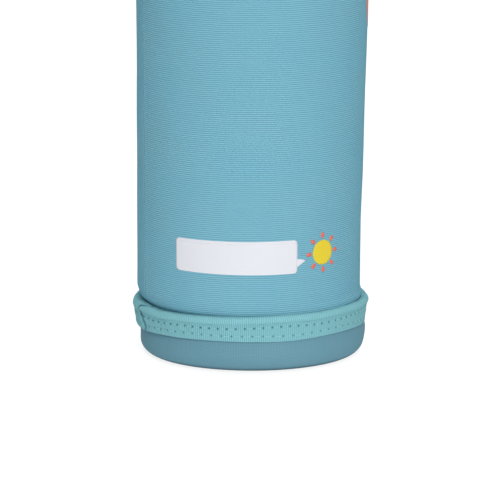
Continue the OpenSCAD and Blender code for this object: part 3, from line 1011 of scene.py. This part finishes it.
def build_prints():
    PL, PR = -40.4, 23.55
    c = 1.5
    # closer rows at the corners
    fine = []
    for i in range(9):
        v = (i / 8.0) ** 1.6 * 0.09
        fine.append(v)
    vs = sorted(set(fine + [1 - v for v in fine] + [0.09 + 0.82 * i / 14 for i in range(15)]))
    rows = []
    for v in vs:
        e = min(v, 1 - v) * 12.1
        ins = (c - math.sqrt(max(0.0, c * c - (c - e) ** 2)) if e < c else 0.0) / 0.722
        zl, zr = 37.35 + (49.35 - 37.35) * v, 37.0 + (49.3 - 37.0) * v
        rows.append((zl, PL + ins, zr, PR - ins))
    panel = film("name_panel_print", rows, M_WHITE, 0.12, 72)
    tail_rows = [(39.3, 23.2, 39.3, 23.7), (39.8, 23.2, 40.0, 25.1), (40.5, 23.2, 40.75, 26.8), (41.0, 23.2, 41.25, 27.9), (41.4, 23.2, 41.6, 28.0),
                 (41.8, 23.2, 41.85, 26.5), (42.2, 23.2, 42.2, 24.3)]
    tail = film("tail", tail_rows, M_WHITE, 0.125, 10)
    panel = join([panel, tail], "name_panel_print")
    give(panel, "pouch")

    sun = [disc("sun", 39.15, 43.5, 4.55, M_YELLOW, 0.12)]
    for k in range(8):
        a = 2 + 45 * k
        ph = 39.15 + 6.35 * math.cos(math.radians(a)) / 41.4 * 180 / PI
        z = 43.5 + 6.35 * math.sin(math.radians(a))
        sun.append(capsule_film("ray", ph, z, 2.0, 1.35, a, M_CORAL))
    give(join(sun, "sun_print"), "pouch")

    dots = []
    for phi, z, r, m in ((95.8, 133.0, 12.6, M_CORAL), (128, 96, 5.2, M_YELLOW), (158, 126, 6.6, M_CORAL), (166, 66, 4.4, M_WHITE), (-168, 100, 7.4, M_CORAL),
                         (-138, 128, 5.0, M_YELLOW), (-146, 62, 6.2, M_CORAL), (-112, 92, 4.6, M_WHITE), (122, 52, 6.8, M_CORAL), (-178, 146, 4.2, M_WHITE)):
        dots.append(disc("dot", phi, z, r, m, 0.12, rings=8, cols=72))
    give(join(dots, "dot_prints"), "pouch")


# ---- inside of the pouch

def build_inside():
    phis = [-180 + 2.0 * i for i in range(180)]

    def wob(ph, z, a=0.05):
        return a * math.sin(math.radians(6 * ph) + z * 0.11) + a * 0.7 * math.sin(math.radians(15 * ph) - z * 0.07)

    zs = [24.2, 40, 60, 80, 100, 120, 140, 160, 172.8]

    def fo(z):
        return lambda ph: (max(39.28, sleeve_r(ph, z, False) - 0.75 - 0.06), z)
    rows = [fo(z) for z in zs] + [(lambda z: (lambda ph: (39.22, z)))(z) for z in reversed(zs)]
    foam = ring_rows("foam_layer", rows, phis, M_FOAM)
    give(foam, "pouch", ["pouch_foam"])

    zl = [10.0, 14, 20] + [24 + 6 * i for i in range(25)] + [172.9]
    rows = [(lambda z: (lambda ph: (39.17, z)))(z) for z in zl] + [(lambda z: (lambda ph: (38.93 + wob(ph, z), z)))(z) for z in reversed(zl)]
    lining = ring_rows("lining", rows, phis, M_LINING)
    give(lining, "pouch", ["pouch_lining"])

    # taped seam
    verts, m = [], 9
    zt = [24 + 2.0 * i for i in range(72)]
    for layer in (38.86, 38.50):
        for z in zt:
            for j in range(m):
                u = j / (m - 1) * 2 - 1
                ph = -70 + u * 7.4
                r = layer if layer > 38.7 else 38.50 + 0.22 * abs(u) ** 4 + 0.04 * math.sin(z * 0.7 + u)
                verts.append(pos(ph, r, z))
    n = len(zt)
    faces = []
    for i in range(n - 1):
        for j in range(m - 1):
            a = i * m + j
            faces.append((a, a + 1, a + m + 1, a + m))
            faces.append((n * m + a, n * m + a + m, n * m + a + m + 1, n * m + a + 1))
    for i in range(n - 1):
        for j in (0, m - 1):
            a = i * m + j
            faces.append((a, a + m, a + m + n * m, a + n * m))
    for j in range(m - 1):
        for i in (0, n - 1):
            a = i * m + j
            faces.append((a, a + 1, a + 1 + n * m, a + n * m))
    tape = fix_normals(add_mesh("seam_tape_strip", verts, faces, M_SEAMTAPE))
    give(tape, "pouch", ["seam_tape"])

    sec = [(0, 1.62), (20, 1.62), (34, 1.62), (35.6, 2.0), (36.4, 2.8), (36.55, 3.5), (36.2, 4.2), (35.2, 4.55), (33, 4.6), (24, 4.58), (12, 4.56), (0, 4.55)]
    pad = revolve("base_foam_pad", sec, M_PAD, cols=160, closed=False, angle=60)
    give(pad, "pouch", ["base_pad"])


# ---- top binding

def build_top_binding():
    n = 900
    phis = [-180 + 360.0 * i / n for i in range(n)]

    def out(z, dr, stitch=False):
        def f(ph):
            zz = z + 0.15 * math.sin(math.radians(4 * ph + 30)) + 0.08 * math.sin(math.radians(11 * ph))
            base = sleeve_r(ph, 171.0, False)
            r = base + dr + 0.04 * math.sin(math.radians(ph * 31 + z * 20))
            p = 0.0
            if stitch:
                d = math.hypot(near_hole(ph, 0.0, 4.0) * 0.755, zz - 168.9)
                r -= 0.4 * gauss(d, 0.3)
                # painted shade in the needle holes
                p = gauss(d, 0.34)
            r -= 0.10 * gauss(zz - 168.9, 0.8)
            return r, zz, p
        return f

    # painted shade where the tape's lower edge meets the sleeve
    rows = [lambda ph: (sleeve_r(ph, 171.0, False) + 0.04, 167.2, 0.4)]
    rows += [out(167.0, 0.62), out(167.3, 0.80)]
    rows += [out(167.6 + 0.3 * i, 0.90, True) for i in range(13)]
    rows += [out(172.0, 0.98), out(172.8, 1.02)]
    for a in range(0, 181, 12):
        def top(ph, a=a):
            ro = sleeve_r(ph, 171.0, False) + 0.98
            ri = 38.5
            c, h = (ro + ri) / 2, (ro - ri) / 2
            ca, sa = math.cos(math.radians(a)), math.sin(math.radians(a))
            # a flattened dome
            return c + h * math.copysign(abs(ca) ** 0.7, ca), 173.3 + 1.7 * abs(sa) ** 0.8 + 0.06 * math.sin(math.radians(ph * 17)) * sa
        rows.append(top)
    rows += [(lambda z: (lambda ph: (38.5, z + 0.1 * math.sin(math.radians(5 * ph)))))(z) for z in (172.5, 171.0, 169.5, 168.2)]
    rows += [lambda ph: (38.85, 168.0), lambda ph: (38.87, 173.1), lambda ph: (sleeve_r(ph, 171.0, False) + 0.04, 173.84)]
    o = ring_rows("top_binding_tape", rows, phis, M_TAPE_TOP, attr="pit_shade")
    give(o, "pouch", ["top_binding"])
    bits = []
    for k in range(90):
        p0 = 4.0 * k - 180
        pts = []
        for i in range(6):
            u = i / 5.0
            ph = p0 + 0.45 + (4.0 - 0.9) * u
            z = 168.9 + 0.15 * math.sin(math.radians(4 * ph + 30)) * 0 
            r = sleeve_r(ang(ph, 0), 171.0, False) + 0.90 - 0.10
            pts.append(pos(ph, r + (-0.28 if i in (0, 5) else 0.05), z))
        bits.append(tube("s", pts, 0.00014, M_THREAD, sides=6))
    th = join(bits, "top_binding_thread")
    give(th, "pouch")


# ---- strap tabs and rings

def build_tab(side):
    sgn = 1 if side == "right" else -1
    R = 42.95
    cx, cz, rl = 46.5, 162.5, 2.45
    path = []
    for z in np.arange(144.6, 157.6, 0.5):
        path.append((42.96, float(z), 1.0))
    for u in np.linspace(0, 1, 8)[1:]:
        # from the patch out to the loop's left side
        a = math.radians(200 - 20 * u)
        path.append((42.96 + (cx - rl - 42.96) * u ** 1.3, 157.6 + (cz - 157.6) * u, 1.0 - u))
    for a in np.linspace(180, -60, 26)[1:]:
        path.append((cx + rl * math.cos(math.radians(a)), cz + rl * math.sin(math.radians(a)), 0.0))
    end = path[-1]
    for u in np.linspace(0, 1, 8)[1:]:
        path.append((end[0] + (43.72 - end[0]) * sstep(u, 0, 1) ** 0.8, end[1] + (157.0 - end[1]) * u, u))
    for z in np.arange(156.5, 144.9, -0.5):
        path.append((43.72, float(z), 1.0))
    path.append((43.72, 144.75, 1.0))
    n = len(path)
    t = 0.33
    m = 25
    W = 9.0

    def normal(i):
        a, b = path[max(0, i - 1)], path[min(n - 1, i + 1)]
        dx, dz = b[0] - a[0], b[1] - a[1]
        l = math.hypot(dx, dz) or 1.0
        return -dz / l, dx / l

    verts = []
    for layer in (1, -1):
        for i, (rho, z, k) in enumerate(path):
            nx, nz = normal(i)
            for j in range(m):
                w = -W + 2 * W * j / (m - 1)
                edge = 1.0 - 0.45 * (abs(w) / W) ** 8
                x = rho + nx * t * layer * edge
                zz = z + nz * t * layer * edge
                sag = R - math.sqrt(R * R - w * w)
                verts.append((sgn * (x - k * sag) * MM, w * MM, zz * MM))
    faces = []
    for i in range(n - 1):
        for j in range(m - 1):
            a = i * m + j
            faces.append((a, a + 1, a + m + 1, a + m))
            b = n * m + a
            faces.append((b, b + m, b + m + 1, b + 1))
    for i in range(n - 1):
        for j in (0, m - 1):
            a = i * m + j
            faces.append((a, a + m, a + m + n * m, a + n * m))
    for j in range(m - 1):
        for i in (0, n - 1):
            a = i * m + j
            faces.append((a, a + 1, a + 1 + n * m, a + n * m))
    o = fix_normals(add_mesh("strap_tab_webbing_" + side, verts, faces, M_WEB))
    give(o, "pouch", ["strap_tab_" + side])
    # box and cross stitching
    lines = [((-7.5, 146.2), (7.5, 146.2)), ((-7.5, 155.6), (7.5, 155.6)), ((-7.5, 146.2), (-7.5, 155.6)), ((7.5, 146.2), (7.5, 155.6)),
             ((-7.5, 146.2), (7.5, 155.6)), ((-7.5, 155.6), (7.5, 146.2))]
    bits = []
    for (w0, z0), (w1, z1) in lines:
        L = math.hypot(w1 - w0, z1 - z0)
        k = max(3, round(L / 2.0))
        for i in range(k):
            pts = []
            for q in range(5):
                u = (i + 0.10 + 0.80 * q / 4) / k
                w, z = w0 + (w1 - w0) * u, z0 + (z1 - z0) * u
                sag = R - math.sqrt(R * R - w * w)
                x = 43.72 + t + (-0.12 if q in (0, 4) else 0.10) - sag
                pts.append((sgn * x * MM, w * MM, z * MM))
            bits.append(tube("s", pts, 0.00020, M_THREAD_W, sides=6))
    th = join(bits, "strap_tab_thread_" + side)
    give(th, "pouch")


def build_ring(side):
    sgn = 1 if side == "right" else -1
    cx, cz, R, leg, f = 46.5, 162.5, 12.5, 5.0, 2.6
    pts = []
    for y in np.linspace(-(R - f), R - f, 12):
        pts.append((y, cz))
    for a in np.linspace(90, 0, 9)[1:]:
        pts.append((R - f + f * math.cos(math.radians(a)), cz - f + f * math.sin(math.radians(a))))
    for z in np.linspace(cz - f, cz - leg, 4)[1:]:
        pts.append((R, z))
    for a in np.linspace(0, -180, 41)[1:]:
        pts.append((R * math.cos(math.radians(a)), cz - leg + R * math.sin(math.radians(a))))
    for z in np.linspace(cz - leg, cz - f, 4)[1:]:
        pts.append((-R, z))
    for a in np.linspace(180, 90, 9)[1:-1]:
        pts.append((-(R - f) + f * math.cos(math.radians(a)), cz - f + f * math.sin(math.radians(a))))
    path = [(sgn * cx * MM, y * MM, z * MM) for y, z in pts]
    o = tube("ring_" + side, path, 0.00175, M_STEEL, sides=20, closed=True)
    return give(o, "strap_ring_" + side, ["d_ring_" + side])


# ---- steel bottle

def build_bottle():
    t, br, nr, bz = 0.7, 38.0, 27.4, 5.0
    out = [(34, bz), (34.6, bz)] + arc_pts(br - 3, bz + 3, 3, -86, 0, 10) + [(br, z) for z in (30, 60, 90, 120, 150, 174)]
    out += arc_pts(br - 8, 174, 8, 4, 86, 14) + [(nr + 2, 182.15)] + arc_pts(nr + 2, 184.3, 2, -98, -180, 8) + [(nr, 187), (nr, 200.3)]
    inn = [(nr - t, 200.35), (nr - t, 184.3)] + arc_pts(nr + 2, 184.3, 2 + t, -180, -98, 8) + arc_pts(br - 8, 174, 8 - t, 86, 4, 14)
    inn += [(br - t, 174), (br - t, bz + 3)] + arc_pts(br - 3, bz + 3, 3 - t, 0, -86, 10) + [(34, bz + t)]
    shell = revolve("bottle_shell", out + inn, M_POWDER, cols=256, closed=True, angle=40)
    parts = [shell]
    # four thread starts, each rising 16 mm in a turn
    for k in range(4):
        n = 60
        span = 84.0
        verts, faces = [], []
        prof = [(-0.30, -1.05), (0.20, -0.72), (0.50, -0.40), (0.60, 0.0), (0.50, 0.40), (0.20, 0.72), (-0.30, 1.05)]
        for i in range(n + 1):
            a = 90 * k + span * i / n
            z = 188.5 + 16.0 * (span * i / n) / 360.0
            e = min(i, n - i) / n
            f = sstep(e, 0.0, 0.10)
            for dr, dz in prof:
                r = nr + (dr * f if dr > 0 else dr)
                verts.append((r * MM * math.cos(math.radians(a)), r * MM * math.sin(math.radians(a)), (z + dz * (0.5 + 0.5 * f)) * MM))
        m = len(prof)
        for i in range(n):
            for j in range(m):
                j2 = (j + 1) % m
                faces.append((i * m + j, i * m + j2, (i + 1) * m + j2, (i + 1) * m + j))
        faces.append(tuple(range(m)))
        faces.append(tuple(n * m + j for j in range(m - 1, -1, -1)))
        parts.append(fix_normals(add_mesh("t", verts, faces, M_POWDER)))
    o = join(parts, "bottle_shell")
    give(o, "bottle", ["outer_shell"])

    t = 0.6
    r, nv, mz = 35.2, 26.6, 201.0
    sec = [(0, 9.0), (20, 9.0)] + arc_pts(r - 6, 15, 6, -90, 0, 12) + [(r, z) for z in (40, 80, 120, 150, 172)]
    sec += arc_pts(r - 6, 172, 6, 6, 84, 10) + arc_pts(nv + 2, 180.2, 2, -98, -180, 8) + [(nv, 200.38), (27.3, 200.42), (27.38, 200.7)]
    sec += [(27.3, 200.95), (27.1, 201.0), (nv - t + 0.25, 201.0), (nv - t + 0.05, 200.85), (nv - t, 200.5), (nv - t, 180.2)]
    sec += arc_pts(nv + 2, 180.2, 2 + t, -180, -98, 8) + arc_pts(r - 6, 172, 6 - t, 84, 6, 10) + [(r - t, 172), (r - t, 15)]
    sec += arc_pts(r - 6, 15, 6 - t, 0, -90, 12) + [(20, 9.6), (0, 9.6)]
    o = revolve("inner_wall", sec, M_BRUSHED, cols=200, closed=False, angle=40)
    give(o, "bottle", ["inner_vessel"])


build_sleeve()
build_cup()
build_base_binding()
build_prints()
build_inside()
build_top_binding()
for s in ("right", "left"):
    build_ring(s)
    build_tab(s)
build_bottle()


def build_button_spring():
    """Small coil spring behind the push button; in the real cap it shortens as the button goes in, and here it is built
    at one length.
    """
    n, turns, y0, y1, r = 168, 4.0, -32.60, -29.90, 1.9
    path = []
    for i in range(n + 1):
        u = i / n
        a = 2 * PI * turns * u
        path.append((r * math.cos(a) * MM, (y0 + (y1 - y0) * u) * MM, (202.9 + r * math.sin(a)) * MM))
    o = tube("button_coil", path, 0.21 * MM, M_SPRING, sides=10)
    give(o, "cap", ["button_spring"])
    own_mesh(o)
    return o


build_button_spring()


def block(name, lo, hi, mat, c=0.25):
    """A box from lo to hi in mm, its long edges chamfered by c."""
    x0, y0, z0 = lo
    x1, y1, z1 = hi
    c = min(c, 0.3 * (y1 - y0), 0.3 * (z1 - z0))
    ring = [(y0 + c, z0), (y1 - c, z0), (y1, z0 + c), (y1, z1 - c), (y1 - c, z1), (y0 + c, z1), (y0, z1 - c), (y0, z0 + c)]
    verts = [(x * MM, y * MM, z * MM) for x in (x0, x1) for y, z in ring]
    faces = [(i, (i + 1) % 8, 8 + (i + 1) % 8, 8 + i) for i in range(8)] + [tuple(range(7, -1, -1)), tuple(range(8, 16))]
    return fix_normals(add_mesh(name, verts, faces, mat))


def build_push_button():
    """Soft-cornered button face with a shallow thumb dish, and the arm and hook behind it."""
    hx, hz, rc, zc, seg = 8.6, 5.4, 1.1, 205.4, 10

    def outline(d):
        a, b, q = hx - d, hz - d, max(0.25, rc - 0.35 * d)
        pts = []
        for cx, cz, a0 in ((a - q, b - q, 0), (-(a - q), b - q, 90), (-(a - q), -(b - q), 180), (a - q, -(b - q), 270)):
            for k in range(seg + 1):
                t = math.radians(a0 + 90.0 * k / seg)
                pts.append((cx + q * math.cos(t), cz + q * math.sin(t)))
        return pts

    rings = [(3.0, 36.8), (0.15, 36.8), (0.0, 36.95), (0.0, 38.75), (0.06, 39.0), (0.22, 39.2), (0.5, 39.33), (0.9, 39.38), (1.4, 39.37),
             (2.0, 39.28), (2.7, 39.12), (3.4, 38.98), (4.1, 38.89), (4.8, 38.85)]
    verts = []
    for d, r in rings:
        for x, z in outline(d):
            verts.append((x * MM, -math.sqrt(r * r - x * x) * MM, (zc + z) * MM))
    n = 4 * (seg + 1)
    faces = []
    for i in range(len(rings) - 1):
        for j in range(n):
            j2 = (j + 1) % n
            faces.append((i * n + j, i * n + j2, (i + 1) * n + j2, (i + 1) * n + j))
    for i in (0, len(rings) - 1):
        d, r = rings[i]
        # a strip of quads closes the narrow oval that is left
        half = n // 2
        for k in range(half - 1):
            q = [i * n + k, i * n + k + 1, i * n + n - 2 - k, i * n + n - 1 - k]
            faces.append(tuple(q) if i else tuple(q[::-1]))
    face = shade_by_angle(fix_normals(add_mesh("face", verts, faces, M_BUTTON)), 50)
    parts = [face, block("arm", (-4, -34.4, 200.8), (4, -33.0, 218.0), M_BUTTON), block("hook", (-4, -34.9, 216.8), (4, -34.1, 218.0), M_BUTTON, 0.15)]
    parts += [block("rail", (-4, -37.2, z), (4, -34.0, z + 2.0), M_BUTTON) for z in (200.8, 208.6)]
    return give(join(parts, "push_button_face"), "button", ["push_button"])


build_push_button()

# ---------------------------------------------------------------- CAD nodes that stay

NODE_MATS = {
    "base_plate": M_BRUSHED, "cap_gasket": M_GASKET, "cap_body": M_CAP, "mouthpiece": M_CAP, "mouthpiece_gasket": M_SILICONE,
    "hinge_pin": M_BRUSHED, "lid_spring": M_SPRING, "lid_shell": M_LID, "lid_liner": M_CAP, "lid_seal": M_SILICONE,
    "lock_slider": M_LOCK,
}
for name, mat in NODE_MATS.items():
    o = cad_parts[name]
    if not o.material_slots:
        o.data.materials.append(mat)
    for s in o.material_slots:
        s.material = mat

# moulded edges are eased
for name, w in (("lock_slider", 0.35), ("cap_body", 0.22), ("lid_shell", 0.20)):
    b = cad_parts[name].modifiers.new("eased_edges", "BEVEL")
    b.width = w * MM
    b.segments = 3
    b.limit_method = "ANGLE"
    b.angle_limit = math.radians(42)
    b.use_clamp_overlap = True
    b.harden_normals = True

# ---------------------------------------------------------------- stage, light and camera

def build_stage():
    f = Mat("floor_white", rough=0.9)
    f.color((0.25, 0.25, 0.25))
    f.p.inputs["Emission Color"].default_value = (1.0, 1.0, 1.0, 1.0)
    f.p.inputs["Emission Strength"].default_value = 0.83
    f.p.inputs["Specular IOR Level"].default_value = 0.1
    n = 24
    verts, faces = [], []
    # floor that sweeps up far behind the object
    prof = [(-4.0, 0.0), (3.0, 0.0)] + [(3.0 + 1.5 * math.sin(math.radians(a)), 1.5 - 1.5 * math.cos(math.radians(a))) for a in range(6, 91, 6)] + [(4.5, 5.0)]
    for y, z in prof:
        for x in (-6.0, 6.0):
            verts.append((x, y, z - 0.0002))
    for i in range(len(prof) - 1):
        faces.append((2 * i, 2 * i + 1, 2 * i + 3, 2 * i + 2))
    o = add_mesh("floor", verts, faces, f.m)

    w = bpy.data.worlds.new("studio")
    bpy.context.scene.world = w
    w.use_nodes = True
    bg = w.node_tree.nodes["Background"]
    bg.inputs[0].default_value = (1.0, 1.0, 1.0, 1.0)
    bg.inputs[1].default_value = 0.085

    def area(name, loc, target, size, power, shape="SQUARE"):
        l = bpy.data.lights.new(name, "AREA")
        l.energy = power
        l.size = size
        ob = bpy.data.objects.new(name, l)
        bpy.context.scene.collection.objects.link(ob)
        ob.location = loc
        d = Vector(target) - Vector(loc)
        ob.rotation_euler = d.to_track_quat("-Z", "Y").to_euler()
        return ob

    def sun(name, az, el, strength, angle):
        """Light from azimuth az (0 from -Y, positive from +X) and elevation el."""
        l = bpy.data.lights.new(name, "SUN")
        l.energy = strength
        l.angle = math.radians(angle)
        ob = bpy.data.objects.new(name, l)
        bpy.context.scene.collection.objects.link(ob)
        a, e = math.radians(az), math.radians(el)
        d = Vector((math.sin(a) * math.cos(e), -math.cos(a) * math.cos(e), math.sin(e)))
        ob.rotation_euler = (-d).to_track_quat("-Z", "Y").to_euler()
        return ob

    sun("key", 7, 30, 2.32, 22)
    sun("top", 0, 88, 1.42, 70)


build_stage()

sc = bpy.context.scene
sc.view_settings.view_transform = "Standard"
sc.view_settings.look = "None"
cam = bpy.data.cameras.new("camera")
cam_o = bpy.data.objects.new("camera", cam)
sc.collection.objects.link(cam_o)
D, EL = 1.2, math.radians(12.0)
AIM = Vector((-0.00074, 0.0, 0.0376))
cam_o.location = AIM + Vector((0.0, -math.cos(EL), math.sin(EL))) * D
cam_o.rotation_euler = (AIM - cam_o.location).to_track_quat("-Z", "Y").to_euler()
cam.sensor_width = 36.0
cam.lens = 36.0 * D / 0.186
cam.clip_start = 0.01
cam.clip_end = 50.0
sc.camera = cam_o
